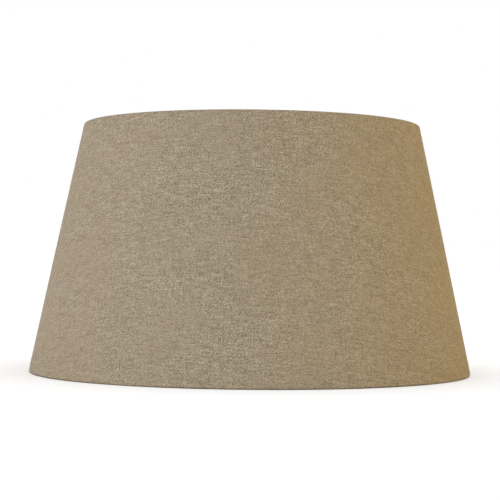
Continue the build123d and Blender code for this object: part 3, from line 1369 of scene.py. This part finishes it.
@dataclass
class Studio:
    """Pale floor, soft light and the camera.

    Attributes:
        lights: The lights.
        floor_size: Side of the floor.
        floor_colour: The floor's colour.
        floor_roughness: The floor's roughness.
        room_light: Strength of the even light from all round.
        backdrop: Brightness behind everything.
        lens: Focal length, in millimetres.
        view_end: Distance past which the camera sees nothing.
        distance_in_radii: How far off the camera is, in the shade's radii at its foot.
        height_in_radii: How high it is, in the same.
        look_up: How far it looks above level, in radians.
        roll: How far it is tilted sideways, in radians.
        aim_left: How far it looks to the left, in radians.
    """

    lights: tuple[Softbox, ...] = (
        Softbox("key", -34, 34, 2.06, (0.92, 1.03, 1.28), 48, Lights.LINEN),
        Softbox("inner_key", -24, 34, 2.0, (1.0, 1.0, 1.0), 60, Lights.FITTINGS),
        Softbox("warm_side", 99, 24, 1.52, (1.0, 0.68, 0.0), 50, Lights.LINEN),
        Softbox("warm_left", -105, 24, 0.38, (1.0, 0.6, 0.0), 50, Lights.LINEN),
        Softbox("back_fill", 178, 30, 1.05, (1.0, 0.96, 0.9), 80, Lights.SHADE),
        Softbox("floor_light", 0, 88, 3.35, (1.0, 1.0, 1.0), 90, Lights.FLOOR),
    )
    floor_size: float = 60.0
    floor_colour: Colour = (0.9, 0.9, 0.9)
    floor_roughness: float = 0.9
    room_light: float = 0.12
    backdrop: float = 1.0
    lens: float = 106.3
    view_end: float = 100.0
    distance_in_radii: float = 6.772
    height_in_radii: float = 0.4908
    look_up: float = 0.0097
    roll: float = 0.0097
    aim_left: float = 0.0005

    def __post_init__(self) -> None:
        """Builds the room and the floor."""
        self.room()
        self.ground = self.floor()
        bpy.context.scene.view_settings.view_transform = "Standard"

    def camera(self, wall: Wall) -> None:
        """A long lens at the height of the shade's middle, looking level along +Y.

        Args:
            wall: The shade's wall.
        """
        foot = wall.bottom_radius + wall.linen_middle + wall.linen / 2
        data = bpy.data.cameras.new("camera")
        data.lens = self.lens
        data.clip_end = self.view_end
        made = bpy.data.objects.new("camera", data)
        aim = Matrix.Rotation(self.aim_left, 4, "Z")
        level = Matrix.Rotation(math.pi / 2 + self.look_up, 4, "X")
        turn = aim @ level @ Matrix.Rotation(self.roll, 4, "Z")
        place = Vector((0.0, -self.distance_in_radii * foot, self.height_in_radii * foot))
        made.matrix_world = Matrix.Translation(place) @ turn
        bpy.context.scene.collection.objects.link(made)
        bpy.context.scene.camera = made

    def room(self) -> None:
        """White behind everything, and a dimmer, even light from all round."""
        world = bpy.data.worlds.new("room")
        world.use_nodes = True
        tree = world.node_tree
        shade = tree.nodes["Background"]
        shade.inputs["Color"].default_value = (1.0, 1.0, 1.0, 1.0)
        path = tree.nodes.new("ShaderNodeLightPath")
        level = tree.nodes.new("ShaderNodeMapRange")
        level.inputs["To Min"].default_value = self.room_light
        level.inputs["To Max"].default_value = self.backdrop
        tree.links.new(path.outputs["Is Camera Ray"], level.inputs["Value"])
        tree.links.new(level.outputs["Result"], shade.inputs["Strength"])
        bpy.context.scene.world = world

    def floor(self) -> bpy.types.Object:
        """A wide pale floor under the shade.

        Returns:
            The floor.
        """
        half = self.floor_size / 2
        side = np.array([-half, half])
        x, y = np.meshgrid(side, side)
        floor = surface_object("studio_floor", np.stack([x, y, np.zeros((2, 2))], -1))
        g = Graph("studio_floor")
        g.shader.inputs["Base Color"].default_value = (*self.floor_colour, 1.0)
        g.shader.inputs["Roughness"].default_value = self.floor_roughness
        g.shader.inputs["Specular IOR Level"].default_value = 0.0
        floor.data.materials.append(g.material)
        return floor

    def receivers(
        self, name: str, state: str, *objects: bpy.types.Object
    ) -> bpy.types.Collection:
        """Names the objects that a light keeps to, or keeps off.

        Args:
            name: The collection's name.
            state: INCLUDE to keep to them or EXCLUDE to keep off them.
            *objects: The objects.

        Returns:
            The collection for the light.
        """
        made = bpy.data.collections.new(f"lit_{name.lower()}")
        for thing in objects:
            made.objects.link(thing)
        for entry in made.collection_objects:
            entry.light_linking.link_state = state
        return made

    def light_up(self, linen: bpy.types.Object) -> None:
        """Makes the lights, each kept to what it is for, so that no colour stains the other parts.

        Args:
            linen: The piece that the warm lights fall on.
        """
        receivers = {
            Lights.SHADE: self.receivers("SHADE", "EXCLUDE", self.ground),
            Lights.LINEN: self.receivers("LINEN", "INCLUDE", linen),
            Lights.FITTINGS: self.receivers("FITTINGS", "EXCLUDE", self.ground, linen),
            Lights.FLOOR: self.receivers("FLOOR", "INCLUDE", self.ground),
        }
        for box in self.lights:
            data = bpy.data.lights.new(box.name, "SUN")
            data.energy = box.strength
            data.color = box.colour
            data.angle = math.radians(box.spread)
            made = bpy.data.objects.new(box.name, data)
            level = Matrix.Rotation(math.radians(box.azimuth), 4, "Z")
            tip = Matrix.Rotation(math.radians(90 - box.elevation), 4, "X")
            made.matrix_world = level @ tip
            bpy.context.scene.collection.objects.link(made)
            made.light_linking.receiver_collection = receivers[box.lit]


def main() -> None:
    """Builds the shade's soft parts, dresses the rest and lights the studio."""
    logging.basicConfig(level=logging.INFO, format="%(name)s: %(message)s")
    wall = Wall.from_frame()
    studio = Studio()
    studio.camera(wall)
    paper = TapeFinish().material()
    linen = LinenCover(wall, LinenFinish().material()).build()
    studio.light_up(linen)
    Lining(wall, LINING_FILM.material(), paper).build()
    RingTapes(wall, paper).build()
    Spider(POWDER_COAT.material(), ZINC.material(), NYLON.material(), REDUCER_PLASTIC.material()).build()


if __name__ == "__main__":
    main()
